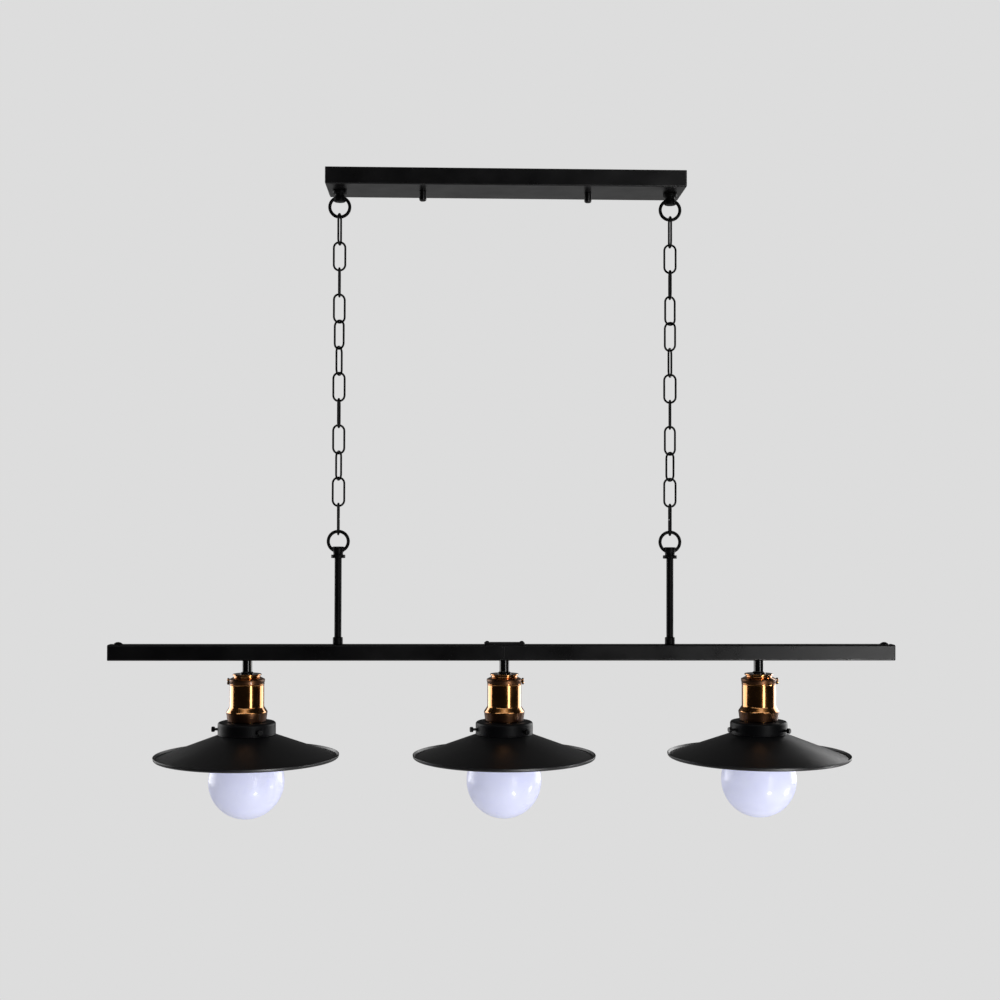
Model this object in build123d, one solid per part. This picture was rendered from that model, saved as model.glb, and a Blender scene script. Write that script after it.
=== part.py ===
"""Linear island pendant: canopy, two chains, a square beam and three shaded lamp heads.

Frame: millimetres, origin at the middle of the canopy's top edge, in the ceiling plane.
+Z is up, +X runs along the beam. The front is -Y.
"""
from build123d import *
import os

# ---------------------------------------------------------------- clearances
FIT = 0.05            # a shank or pin in its hole, on the radius
EASY = 0.1            # between sheet-metal pieces that slide together
LINK_GAP = 0.06       # between two links of one chain run
PIVOT_GAP = 0.3       # where one swinging piece hangs in another
BURY = 1              # how far two shapes of one piece run into each other
FINE_EDGE = 0.3       # broken and rounded edges
SMALL_EDGE = 0.5
SOFT_EDGE = 0.8

# ---------------------------------------------------------------- canopy
CANOPY_LENGTH = 430
CANOPY_WIDTH = 75
CANOPY_HEIGHT = 20
CANOPY_WALL = 1.2
CANOPY_EDGE = 1.8     # outside rounding of the folds

STRAP_LENGTH = 240
STRAP_WIDTH = 26
STRAP_THICK = 2.5
STRAP_CORNER = 4
SLOT_SPACING = 88.9   # ceiling box screws
SLOT_LENGTH = 12
SLOT_WIDTH = 4.8

STUD_SPACING = 200
STUD_R = 2
STUD_FLANGE_R = 4
STUD_FLANGE_THICK = 1
CAP_NUT_R = 4.5
CAP_NUT_HEIGHT = 12
CAP_NUT_ROUND = 2.5
CAP_NUT_BORE_DEPTH = 9
STUD_TIP_GAP = 1      # air left at the bottom of the cap nut's bore

# ---------------------------------------------------------------- ring loops
LOOP_SPACING = 400
RING_R = 12           # centreline of the ring's wire
RING_WIRE_R = 2
BOSS_FLAT = 6.2       # from the ring's centre to the flat in its hole
BOSS_R = 7
BOSS_WAIST_R = 5.9
BOSS_SHOULDER = 9.5   # heights measured from the ring's centre
BOSS_WAIST = 13.5
BOSS_ROUND = 1
FLANGE_LOW = 16
FLANGE_FACE = 20
FLANGE_R = 8.5
FLANGE_CHAMFER = 0.6
THREAD_R = 4          # one thread size on loops, rods and thin nuts
SHANK_LENGTH = 9
ROD_BORE_DEPTH = 8

NUT_FLATS = 13
NUT_THICK = 4

# ---------------------------------------------------------------- chains
WIRE_R = 1.25
LINK_WIDTH = 16.3     # outside
LINK_INNER = 31.6     # inside length of a run link: the chain's pitch
CONNECTOR_INNER = 34.4
CONNECTOR_SPLIT = 0.4
RUN_YAWS = (0, 90, 25, -35, 67, -8, 86, 20, -60, 0)   # each run link's turn about Z, first to last

# ---------------------------------------------------------------- rods and beam
ROD_RISE = 103.5      # from a beam loop's flange face down to the beam
ROD_R = 4.25
ROD_BORE_R = 2.4
ROD_COLLAR_R = 6
ROD_COLLAR_HEIGHT = 8.6
ROD_TAIL = 7          # threaded end inside the beam
ROD_TIP_GAP = 1       # air above the rod's top in the loop's bore

BEAM_LENGTH = 945
BEAM_SIZE = 19
BEAM_WALL = 1.1
BEAM_EDGE = 1.2
END_CAP_THICK = 1.8
END_CAP_PLUG = 22
END_SCREW_INSET = 11
END_SCREW_R = 5.8
END_SCREW_DOME = 2.8
END_SCREW_SHANK_R = 2.5
END_SCREW_SHANK = 8

SLEEVE_LENGTH = 84
SLEEVE_WALL = 1.5
PLATE_LENGTH = 48.5
PLATE_WIDTH = 18
PLATE_THICK = 2.3
PLATE_CORNER = 1.5
PLATE_SCREW_INSET = 3.4
PLATE_SCREW_R = 3
PLATE_SCREW_DOME = 1.9
PLATE_SCREW_SHANK_R = 1.5

# ---------------------------------------------------------------- lamp heads
LAMP_SPACING = 308
LAMP_NAMES = ("left", "middle", "right")

# Heights below are measured down from the beam's underside.
STEM_R = 6
STEM_FOOT_R = 8.5
STEM_FOOT_HEIGHT = 2.4
STEM_FOOT_ROUND = 2
STEM_BORE_R = 2.4
STEM_THREAD_R = 5
STEM_TAIL = 7.5       # threaded end inside the beam
STEM_SPIGOT = 6       # threaded end inside the holder cap

BODY_R = 20.4         # outside, between the cap and the flare

CAP_TOP = 16.1
CAP_LIP_R = 17.1
CAP_LIP_THICK = 1.5
CAP_NECK_R = 15.7
CAP_NECK_LOW = 19.6
CAP_BAND_WALL = 0.9
CAP_BAND_R = BODY_R + CAP_BAND_WALL
CAP_BAND_TOP = 22.4
CAP_LOW = 27.9
CAP_WALL = 1.2
CAP_TOP_THICK = 3.6    # where the stem screws in
CAP_NECK_STEP = 0.8    # height of the step under the lip
CAP_NECK_ROUND = 1.2
CAP_SHOULDER_ROUND = 2.2
CAP_INNER_R = BODY_R   # bore that the body runs up into
CAP_SCREW_R = 4
CAP_SCREW_HEAD = 2
CAP_SCREW_SHANK_R = 1.5
CAP_SCREW_SHANK = 5
CAP_SCREW_SLOT = 1     # width and depth of the driver slot
CAP_SCREW_HEIGHT = 25.2
CAP_SCREW_ANGLES = (180, 0, 0)

BODY_WALL = 1.3
BODY_BEAD = 0.6        # how far the bead under the cap stands out
BODY_BEAD_R = BODY_R + BODY_BEAD
BODY_BEAD_HEIGHT = 1.4
FLARE_TOP = 55
FLARE_LOW = 60.4
FLARE_ROUND = 3
FLARE_FOOT_ROUND = 1.5
FLARE_OUT = 4.1
LOWER_RING_R = BODY_R + FLARE_OUT
LOWER_RING_LOW = 72.6
BODY_UP_INTO_CAP = 3.4
SPIGOT_R = 19.6
SPIGOT_LENGTH = 7
SPIGOT_WALL = 2.4

CORE_GAP = 0.7         # between the porcelain core and the body
CORE_R = BODY_R - BODY_WALL - CORE_GAP
CORE_TOP = 31
CORE_LOW = 62
CORE_FLOOR = 11       # solid porcelain above the pocket
SHELL_R = 14.3
SHELL_WALL = 0.5
SHELL_LENGTH = 25
TONGUE_R = 4
TONGUE_THICK = 1.2

GALLERY_R = 34.4
GALLERY_WALL = 1.6
GALLERY_TOP = 73.2
GALLERY_LOW = 88.3
GALLERY_ROUND = 3
THUMB_HEIGHT = 82.2
THUMB_ANGLES = ((180, 60, -60), (190, -50, 70), (200, -40, 80))
THUMB_SHANK_R = 1.5
THUMB_HEAD_R = 3.2
THUMB_HEAD_LENGTH = 4
THUMB_HEAD_NECK = 3.5   # bare shank between the gallery and the head
THUMB_HUB_R = 2.1
THUMB_TIP_GAP = 0.1

SHADE_R = 110
SHADE_WALL = 1
SHADE_NECK_R = 30.4
SHADE_NECK_TOP = 77
SHADE_BEAD_R = 31.9
SHADE_BEAD_HEIGHT = 1.6
SHADE_CONE_SLOPE = 0.374
SHADE_BRIM_R = 107
SHADE_LIP = 3.4
SHADE_LIP_LEAN = 0.6    # how far the lip's foot stands inside its top
SHADE_BRIM_ROUND = 2
SHADE_NECK_ROUND = 0.8

BULB_R = 45
BULB_CENTRE = 144
BULB_GLASS = 1
BULB_NECK_R = 15
BULB_NECK_TOP = 75
BULB_THROAT_ROUND = 9
BULB_CAP_R = 13.1
BULB_CAP_TOP = 50
BULB_TIP = 47.6
BULB_TIP_R = 4.6
BULB_SHOULDER_R = 9
BULB_CHAMFER = 3        # the cap's narrowing end

# ---------------------------------------------------------------- heights in the frame
RING_TOP_Z = -CANOPY_HEIGHT - FLANGE_FACE
# An upper ring's wire, a top link, the run, a bottom link and a lower ring's wire hang in each other.
TOP_LINK_Z = RING_TOP_Z - RING_R + RING_WIRE_R + PIVOT_GAP     # top link's inner top
RUN_Z = TOP_LINK_Z - CONNECTOR_INNER + PIVOT_GAP               # first run link's inner top
RUN_STEP = LINK_INNER - LINK_GAP
BOTTOM_LINK_Z = RUN_Z - (len(RUN_YAWS) - 1) * RUN_STEP - LINK_INNER + PIVOT_GAP
RING_LOW_Z = BOTTOM_LINK_Z - CONNECTOR_INNER + PIVOT_GAP - RING_R + RING_WIRE_R
ROD_TOP_Z = RING_LOW_Z - FLANGE_FACE
BEAM_TOP_Z = ROD_TOP_Z - ROD_RISE
BEAM_LOW_Z = BEAM_TOP_Z - BEAM_SIZE
BEAM_MID_Z = BEAM_TOP_Z - BEAM_SIZE / 2
BEAM_INNER = BEAM_SIZE - 2 * BEAM_WALL

LOOP_X = (-LOOP_SPACING / 2, LOOP_SPACING / 2)
SIDES = ("left", "right")
LAMP_X = (-LAMP_SPACING, 0, LAMP_SPACING)


# ---------------------------------------------------------------- helpers
def turned(*corners):
    """A body of revolution about Z. A corner is (radius, z) or (radius, z, rounding)."""
    points = [corner[:2] for corner in corners]
    roundings = [corner[2] if len(corner) > 2 else 0 for corner in corners]
    outline = make_face(FilletPolyline(*points, radius=roundings, close=True))
    return revolve(Plane.XZ * outline, Axis.Z)


def rod_between(radius, low, high):
    """A round bar along Z from one height to another."""
    return Pos(0, 0, (low + high) / 2) * Cylinder(radius, high - low)


def radial(shape, angle, height):
    """Turn a body made along +X to point outwards at an angle, at a height."""
    return Pos(0, 0, height) * Rot(0, 0, angle) * shape


def bar_along_x(radius, start, end):
    """A round bar along X."""
    return Pos((start + end) / 2, 0, 0) * Rot(0, 90, 0) * Cylinder(radius, end - start)


def group(bodies):
    """Several separate bodies in one node."""
    return Compound(children=list(bodies))


def save(name, body):
    body.label = name
    export_step(body, f"parts/{name}.step")


# ---------------------------------------------------------------- canopy pieces
def canopy_box():
    outer = Box(CANOPY_LENGTH, CANOPY_WIDTH, CANOPY_HEIGHT)
    outer = fillet(outer.edges().filter_by(Axis.Z) + outer.faces().sort_by(Axis.Z)[0].edges(), CANOPY_EDGE)
    hollow = Box(CANOPY_LENGTH - 2 * CANOPY_WALL, CANOPY_WIDTH - 2 * CANOPY_WALL, CANOPY_HEIGHT)
    box = Pos(0, 0, -CANOPY_HEIGHT / 2) * outer
    box -= Pos(0, 0, -CANOPY_HEIGHT / 2 + CANOPY_WALL) * hollow
    for x in (-STUD_SPACING / 2, STUD_SPACING / 2):
        box -= Pos(x, 0, -CANOPY_HEIGHT) * Cylinder(STUD_R + EASY, 4 * CANOPY_WALL)
    for x in LOOP_X:
        box -= Pos(x, 0, -CANOPY_HEIGHT) * Cylinder(THREAD_R + EASY, 4 * CANOPY_WALL)
    return box


def mounting_strap():
    plan = RectangleRounded(STRAP_LENGTH, STRAP_WIDTH, STRAP_CORNER)
    for side in (-1, 1):
        plan -= Pos(side * SLOT_SPACING / 2, 0) * SlotOverall(SLOT_LENGTH, SLOT_WIDTH)
        plan -= Pos(side * STUD_SPACING / 2, 0) * Circle(STUD_R + FIT)
    return extrude(Pos(0, 0, -STRAP_THICK) * plan, STRAP_THICK)


def strap_stud(x):
    """A stud with a clinch flange under the strap; its foot ends inside the cap nut."""
    flange_top = -STRAP_THICK - FIT
    foot = -CANOPY_HEIGHT - CAP_NUT_BORE_DEPTH + STUD_TIP_GAP
    stud = rod_between(STUD_R, foot, -FIT)
    stud += rod_between(STUD_FLANGE_R, flange_top - STUD_FLANGE_THICK, flange_top)
    return Pos(x, 0, 0) * stud


def cap_nut(x):
    top = -CANOPY_HEIGHT - FIT
    bore = CAP_NUT_BORE_DEPTH
    nut = turned(
        (STUD_R + FIT, top),
        (CAP_NUT_R, top, FINE_EDGE),
        (CAP_NUT_R, top - CAP_NUT_HEIGHT, CAP_NUT_ROUND),
        (0, top - CAP_NUT_HEIGHT),
        (0, top - bore),
        (STUD_R + FIT, top - bore),
    )
    return Pos(x, 0, 0) * nut


def ring_loop(shank):
    """The cast loop, ring centre at the origin and flange above. It has a shank, or a bore for a rod."""
    ring = Rot(90, 0, 0) * Torus(RING_R, RING_WIRE_R)
    boss = turned(
        (0, BOSS_FLAT),
        (BOSS_R, BOSS_FLAT, SMALL_EDGE),
        (BOSS_R, BOSS_SHOULDER, BOSS_ROUND),
        (BOSS_WAIST_R, BOSS_WAIST, BOSS_ROUND),
        (BOSS_WAIST_R, FLANGE_LOW),
        (FLANGE_R, FLANGE_LOW, FLANGE_CHAMFER),
        (FLANGE_R, FLANGE_FACE, FLANGE_CHAMFER),
        (0, FLANGE_FACE),
    )
    loop = ring + boss
    if shank:
        return loop + rod_between(THREAD_R, FLANGE_FACE - BURY, FLANGE_FACE + SHANK_LENGTH)
    return loop - rod_between(THREAD_R + FIT, FLANGE_FACE - ROD_BORE_DEPTH, FLANGE_FACE + BURY)


def thin_nut(bore_r):
    """A hexagon nut with its lower face at the origin."""
    plan = RegularPolygon(NUT_FLATS / 2, 6, major_radius=False) - Circle(bore_r + FIT)
    return extrude(plan, NUT_THICK)


# ---------------------------------------------------------------- chain pieces
def chain_link(inner_length, split=False):
    """An upright oval link in the XZ plane, its inner top at the origin."""
    bend = LINK_WIDTH / 2 - WIRE_R
    straight = inner_length + 2 * WIRE_R - 2 * bend
    path = Plane.XZ * SlotCenterToCenter(straight, 2 * bend, rotation=90)
    start = path.edges().filter_by(GeomType.LINE).sort_by(Axis.X)[-1]
    section = Plane(origin=start @ 0.5, z_dir=start % 0.5) * Circle(WIRE_R)
    link = sweep(section, path=path.wire())
    if split:
        link -= Pos(bend, 0, 0) * Box(3 * WIRE_R, 3 * WIRE_R, CONNECTOR_SPLIT)
    return Pos(0, 0, -inner_length / 2) * link


def chain_run():
    """The ten links of one run, each at its own turn about the chain's line."""
    link = chain_link(LINK_INNER)
    return [Pos(0, 0, -step * RUN_STEP) * Rot(0, 0, yaw) * link for step, yaw in enumerate(RUN_YAWS)]


# ---------------------------------------------------------------- rod and beam pieces
def rod():
    """A rod with a turned-down top in the loop and a turned-down tail inside the beam."""
    body = rod_between(ROD_R, -ROD_RISE + FIT, -FIT)
    body += rod_between(THREAD_R, -FIT - BURY, ROD_BORE_DEPTH - ROD_TIP_GAP)
    body += rod_between(THREAD_R, -ROD_RISE - BEAM_WALL - ROD_TAIL, -ROD_RISE + BURY)
    return body - rod_between(ROD_BORE_R, -2 * ROD_RISE, ROD_RISE)


def rod_collar():
    collar = turned(
        (ROD_R + FIT, 0),
        (ROD_COLLAR_R, 0, SMALL_EDGE),
        (ROD_COLLAR_R, ROD_COLLAR_HEIGHT, SOFT_EDGE),
        (ROD_R + FIT, ROD_COLLAR_HEIGHT),
    )
    return Pos(0, 0, BEAM_TOP_Z + FIT) * collar


def square_tube(size, wall, length, edge):
    """A tube along X, centred on the origin."""
    plan = RectangleRounded(size, size, edge) - Rectangle(size - 2 * wall, size - 2 * wall)
    return Pos(-length / 2, 0, 0) * extrude(Plane.YZ * plan, length)


def beam_tube(side):
    """One half of the beam. The middle stem passes up through the joint, so each half has half its hole."""
    length = BEAM_LENGTH / 2 - END_CAP_THICK - FIT
    middle = side * (length / 2 + FIT)
    tube = Pos(middle, 0, BEAM_MID_Z) * square_tube(BEAM_SIZE, BEAM_WALL, length, BEAM_EDGE)
    drill = 4 * BEAM_WALL
    for x in LOOP_X:
        tube -= Pos(x, 0, BEAM_TOP_Z) * Cylinder(THREAD_R + FIT, drill)
    for x in LAMP_X:
        tube -= Pos(x, 0, BEAM_LOW_Z) * Cylinder(STEM_THREAD_R + FIT, drill)
    tube -= Pos(end_screw_x(side), 0, BEAM_TOP_Z) * Cylinder(END_SCREW_SHANK_R + FIT, drill)
    tube -= Pos(plate_screw_x(side), 0, BEAM_TOP_Z) * Cylinder(PLATE_SCREW_SHANK_R + FIT, drill)
    return tube


def end_screw_x(side):
    return side * (BEAM_LENGTH / 2 - END_SCREW_INSET)


def plate_screw_x(side):
    return side * (PLATE_LENGTH / 2 - PLATE_SCREW_INSET)


def end_cap(side):
    """A cap flush with the tube, with a plug that the end screw holds."""
    flange = extrude(Plane.YZ * RectangleRounded(BEAM_SIZE, BEAM_SIZE, BEAM_EDGE), END_CAP_THICK)
    flange = chamfer(flange.faces().sort_by(Axis.X)[-1].edges(), FINE_EDGE)
    plug_size = BEAM_INNER - 2 * EASY
    plug = Pos(-END_CAP_PLUG / 2, 0, 0) * Box(END_CAP_PLUG, plug_size, plug_size)
    cap = Pos(BEAM_LENGTH / 2 - END_CAP_THICK, 0, BEAM_MID_Z) * (flange + plug)
    bore = rod_between(END_SCREW_SHANK_R + FIT, -END_SCREW_SHANK - BURY, BURY)
    cap -= Pos(end_screw_x(1), 0, BEAM_TOP_Z) * bore
    return cap if side > 0 else Rot(0, 0, 180) * cap


def domed_screw(head_r, dome, shank_r, shank):
    """A spherical dome standing on the origin, with its shank below."""
    sphere_r = (head_r ** 2 + dome ** 2) / (2 * dome)
    head = Pos(0, 0, dome - sphere_r) * Sphere(sphere_r) & rod_between(head_r, 0, dome)
    return head + rod_between(shank_r, -shank, dome / 2)


def splice_sleeve():
    """The square sleeve inside the joint, with holes for the stem and the plate's screws."""
    size = BEAM_INNER - 2 * EASY
    sleeve = Pos(0, 0, BEAM_MID_Z) * square_tube(size, SLEEVE_WALL, SLEEVE_LENGTH, FINE_EDGE)
    sleeve -= Pos(0, 0, BEAM_LOW_Z) * Cylinder(STEM_THREAD_R + FIT, BEAM_SIZE)
    for side in (-1, 1):
        sleeve -= Pos(plate_screw_x(side), 0, BEAM_TOP_Z) * Cylinder(PLATE_SCREW_SHANK_R + FIT, BEAM_SIZE)
    return sleeve


def splice_plate():
    plan = RectangleRounded(PLATE_LENGTH, PLATE_WIDTH, PLATE_CORNER)
    for side in (-1, 1):
        plan -= Pos(plate_screw_x(side), 0) * Circle(PLATE_SCREW_SHANK_R + FIT)
    plate = extrude(plan, PLATE_THICK)
    plate = chamfer(plate.faces().sort_by(Axis.Z)[-1].outer_wire().edges(), FINE_EDGE)
    return Pos(0, 0, BEAM_TOP_Z + FIT) * plate


# ---------------------------------------------------------------- lamp head pieces
# Each is made about Z with the beam's underside at z = 0.
def lamp_stem():
    foot = -CAP_TOP + FIT
    stem = turned(
        (0, -FIT),
        (STEM_R, -FIT),
        (STEM_R, foot + STEM_FOOT_HEIGHT, STEM_FOOT_ROUND),
        (STEM_FOOT_R, foot + SMALL_EDGE),
        (STEM_FOOT_R, foot),
        (0, foot),
    )
    stem += rod_between(STEM_THREAD_R, foot - STEM_SPIGOT, BEAM_WALL + STEM_TAIL)
    return stem - rod_between(STEM_BORE_R, -2 * CAP_TOP, 2 * CAP_TOP)


def holder_cap():
    """The stepped, spun cap: a lip, a neck, a cone and a band, hollow inside."""
    hole_r = STEM_THREAD_R + FIT
    neck_top = CAP_TOP + CAP_LIP_THICK + CAP_NECK_STEP
    neck_inner_r = CAP_NECK_R - CAP_WALL
    cap = turned(
        (hole_r, -CAP_TOP),
        (CAP_LIP_R, -CAP_TOP, SMALL_EDGE),
        (CAP_LIP_R, -CAP_TOP - CAP_LIP_THICK, SMALL_EDGE),
        (CAP_NECK_R, -neck_top, FINE_EDGE),
        (CAP_NECK_R, -CAP_NECK_LOW, CAP_NECK_ROUND),
        (CAP_BAND_R, -CAP_BAND_TOP, CAP_SHOULDER_ROUND),
        (CAP_BAND_R, -CAP_LOW, SMALL_EDGE),
        (CAP_INNER_R, -CAP_LOW),
        (CAP_INNER_R, -CAP_BAND_TOP - CAP_WALL, SOFT_EDGE),
        (neck_inner_r, -CAP_NECK_LOW - CAP_WALL),
        (neck_inner_r, -CAP_TOP - CAP_TOP_THICK),
        (hole_r, -CAP_TOP - CAP_TOP_THICK),
    )
    return cap - cap_screw_hole()


def cap_screw_hole():
    """The hole along +X through the cap's band and the body inside it."""
    hole = bar_along_x(CAP_SCREW_SHANK_R + FIT, CAP_BAND_R - CAP_SCREW_SHANK - BURY, CAP_BAND_R + BURY)
    return radial(hole, 0, -CAP_SCREW_HEIGHT)


def cap_screw():
    """A cheese-head screw along +X, its head on the cap's band."""
    seat = CAP_BAND_R + FIT
    face = seat + CAP_SCREW_HEAD
    head = Rot(0, 90, 0) * turned((0, seat), (CAP_SCREW_R, seat), (CAP_SCREW_R, face, SMALL_EDGE), (0, face))
    slot = Pos(face, 0, 0) * Box(2 * CAP_SCREW_SLOT, CAP_SCREW_SLOT, 3 * CAP_SCREW_R)
    return head - slot + bar_along_x(CAP_SCREW_SHANK_R, seat - CAP_SCREW_SHANK, seat + CAP_SCREW_HEAD / 4)


def holder_body():
    """The body runs up into the cap, flares to the lower ring and ends in the gallery's spigot."""
    inner = BODY_R - BODY_WALL
    top = -CAP_LOW + BODY_UP_INTO_CAP
    tail = -LOWER_RING_LOW - SPIGOT_LENGTH
    body = turned(
        (inner, top),
        (CAP_INNER_R - EASY, top),
        (CAP_INNER_R - EASY, -CAP_LOW - FIT),
        (BODY_BEAD_R, -CAP_LOW - FIT, FINE_EDGE),
        (BODY_R, -CAP_LOW - BODY_BEAD_HEIGHT, SMALL_EDGE),
        (BODY_R, -FLARE_TOP, FLARE_ROUND),
        (LOWER_RING_R - SMALL_EDGE, -FLARE_LOW, FLARE_FOOT_ROUND),
        (LOWER_RING_R, -FLARE_LOW - 2 * SMALL_EDGE, FINE_EDGE),
        (LOWER_RING_R, -LOWER_RING_LOW, SOFT_EDGE),
        (SPIGOT_R, -LOWER_RING_LOW),
        (SPIGOT_R, tail, SMALL_EDGE),
        (SPIGOT_R - SPIGOT_WALL, tail),
        (SPIGOT_R - SPIGOT_WALL, -CORE_LOW - FIT),
        (inner, -CORE_LOW - FIT),
    )
    return body - cap_screw_hole()


def socket_core():
    """The porcelain core, with a pocket for the screw shell."""
    pocket_top = -CORE_TOP - CORE_FLOOR
    return turned(
        (0, -CORE_TOP),
        (CORE_R, -CORE_TOP, SOFT_EDGE),
        (CORE_R, -CORE_LOW),
        (SHELL_R + FIT, -CORE_LOW),
        (SHELL_R + FIT, pocket_top),
        (0, pocket_top),
    )


def socket_contacts():
    """The screw shell, and the centre tongue above the bulb's tip."""
    top = -CORE_TOP - CORE_FLOOR - FIT
    shell = rod_between(SHELL_R, top - SHELL_LENGTH, top)
    shell -= rod_between(SHELL_R - SHELL_WALL, top - SHELL_LENGTH - BURY, top + BURY)
    tongue = rod_between(TONGUE_R, top - TONGUE_THICK, top)
    return [shell, tongue]


def gallery():
    inner = GALLERY_R - GALLERY_WALL
    top = -GALLERY_TOP
    return turned(
        (SPIGOT_R + FIT, top),
        (GALLERY_R, top, GALLERY_ROUND),
        (GALLERY_R, -GALLERY_LOW, SMALL_EDGE),
        (inner, -GALLERY_LOW),
        (inner, top - GALLERY_WALL, GALLERY_ROUND - GALLERY_WALL),
        (SPIGOT_R + FIT, top - GALLERY_WALL),
    )


def thumbscrew():
    """A knurled-head screw along +X, its tip at the shade's neck."""
    tip = SHADE_NECK_R + THUMB_TIP_GAP
    head_start = GALLERY_R + THUMB_HEAD_NECK
    head_end = head_start + THUMB_HEAD_LENGTH
    head = turned(
        (0, head_start),
        (THUMB_HUB_R, head_start),
        (THUMB_HEAD_R, head_start + SOFT_EDGE, FINE_EDGE),
        (THUMB_HEAD_R, head_end, SMALL_EDGE),
        (0, head_end),
    )
    return Rot(0, 90, 0) * head + bar_along_x(THUMB_SHANK_R, tip, head_start + BURY)


def cone_z(radius):
    """Height of the shade's outer face at a radius: it passes just under the gallery's inner edge."""
    return -GALLERY_LOW - EASY - SHADE_CONE_SLOPE * (radius - GALLERY_R + GALLERY_WALL)


def shade():
    """Neck with a rolled bead, a shallow cone and an upturned rim, all of one sheet thickness."""
    wall = SHADE_WALL
    under = wall * (1 + SHADE_CONE_SLOPE ** 2) ** 0.5
    bead_low = SHADE_NECK_TOP + SHADE_BEAD_HEIGHT
    lip_top = cone_z(SHADE_BRIM_R) + SHADE_LIP
    brim_in = SHADE_BRIM_R - 2 * wall
    return turned(
        (SHADE_NECK_R - wall, -SHADE_NECK_TOP),
        (SHADE_BEAD_R, -SHADE_NECK_TOP, SMALL_EDGE),
        (SHADE_BEAD_R, -bead_low, SMALL_EDGE),
        (SHADE_NECK_R, -bead_low),
        (SHADE_NECK_R, cone_z(SHADE_NECK_R), SHADE_NECK_ROUND),
        (SHADE_BRIM_R, cone_z(SHADE_BRIM_R), SHADE_BRIM_ROUND),
        (SHADE_R - wall, lip_top),
        (SHADE_R, lip_top, FINE_EDGE),
        (SHADE_R - SHADE_LIP_LEAN, cone_z(SHADE_BRIM_R) - under, SHADE_BRIM_ROUND + SHADE_LIP_LEAN),
        (brim_in, cone_z(brim_in) - under),
        (SHADE_NECK_R - wall, cone_z(SHADE_NECK_R) - under, SHADE_NECK_ROUND + SHADE_LIP_LEAN),
    )


def bulb_globe():
    """A hollow sphere of glass with a short neck that stands in the cap."""
    centre = -BULB_CENTRE
    foot = -BULB_NECK_TOP
    seat_r = BULB_CAP_R - BULB_GLASS
    neck_meet = centre + (BULB_R ** 2 - BULB_NECK_R ** 2) ** 0.5
    shoulder = foot - (BULB_NECK_R - seat_r)
    low = neck_meet - BULB_NECK_R / 2
    neck = turned((0, foot), (seat_r, foot), (BULB_NECK_R, shoulder), (BULB_NECK_R, low), (0, low))
    outer = Pos(0, 0, centre) * Sphere(BULB_R) + neck
    circles = outer.edges().filter_by(GeomType.CIRCLE)
    throat = circles.filter_by(lambda edge: abs(edge.center().Z - neck_meet) < BURY / 10)
    outer = fillet(throat, BULB_THROAT_ROUND)
    inner = Pos(0, 0, centre) * Sphere(BULB_R - BULB_GLASS)
    inner += rod_between(seat_r - BULB_GLASS, centre, foot + BURY)
    return outer - inner


def bulb_cap():
    """The screw cap with its insulating cone and centre contact."""
    return turned(
        (0, -BULB_TIP),
        (BULB_TIP_R, -BULB_TIP, SMALL_EDGE),
        (BULB_TIP_R, -BULB_TIP - 2 * SMALL_EDGE),
        (BULB_SHOULDER_R, -BULB_CAP_TOP),
        (BULB_CAP_R, -BULB_CAP_TOP - BULB_CHAMFER, SOFT_EDGE),
        (BULB_CAP_R, -BULB_NECK_TOP + FIT),
        (0, -BULB_NECK_TOP + FIT),
    )


# ---------------------------------------------------------------- build
os.makedirs("parts", exist_ok=True)

save("canopy_box", canopy_box())
save("mounting_strap", mounting_strap())
save("strap_studs", group(strap_stud(x) for x in (-STUD_SPACING / 2, STUD_SPACING / 2)))
save("cap_nuts", group(cap_nut(x) for x in (-STUD_SPACING / 2, STUD_SPACING / 2)))

hanger_nut_z = -CANOPY_HEIGHT + CANOPY_WALL + FIT
save("hanger_nuts", group(Pos(x, 0, hanger_nut_z) * thin_nut(THREAD_R) for x in LOOP_X))
rod_nut_z = BEAM_TOP_Z - BEAM_WALL - FIT - NUT_THICK
save("rod_nuts", group(Pos(x, 0, rod_nut_z) * thin_nut(THREAD_R) for x in LOOP_X))
save("rod_collars", group(Pos(x, 0, 0) * rod_collar() for x in LOOP_X))

for side, x in zip(SIDES, LOOP_X):
    hanger_z = RING_TOP_Z - FIT
    save(f"{side}_hanger_loop", Pos(x, 0, hanger_z) * ring_loop(shank=True))
    top_link = Rot(0, 0, 90) * chain_link(CONNECTOR_INNER, split=True)
    save(f"{side}_top_link", Pos(x, 0, TOP_LINK_Z) * top_link)
    save(f"{side}_chain", group(Pos(x, 0, RUN_Z) * link for link in chain_run()))
    save(f"{side}_bottom_link", Pos(x, 0, BOTTOM_LINK_Z) * top_link)
    save(f"{side}_beam_loop", Pos(x, 0, RING_LOW_Z) * Rot(0, 180, 0) * ring_loop(shank=False))
    save(f"{side}_rod", Pos(x, 0, ROD_TOP_Z) * rod())

for side, sign in zip(SIDES, (-1, 1)):
    save(f"{side}_beam_tube", beam_tube(sign))
save("end_caps", group(end_cap(sign) for sign in (-1, 1)))
end_screw = domed_screw(END_SCREW_R, END_SCREW_DOME, END_SCREW_SHANK_R, END_SCREW_SHANK)
save("end_screws", group(Pos(end_screw_x(sign), 0, BEAM_TOP_Z + FIT) * end_screw for sign in (-1, 1)))
save("splice_sleeve", splice_sleeve())
save("splice_plate", splice_plate())
plate_screw_shank = PLATE_THICK + BEAM_WALL + EASY + SLEEVE_WALL
plate_screw = domed_screw(PLATE_SCREW_R, PLATE_SCREW_DOME, PLATE_SCREW_SHANK_R, plate_screw_shank)
plate_screw_z = BEAM_TOP_Z + PLATE_THICK + 2 * FIT
save("splice_screws", group(Pos(plate_screw_x(sign), 0, plate_screw_z) * plate_screw for sign in (-1, 1)))

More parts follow.
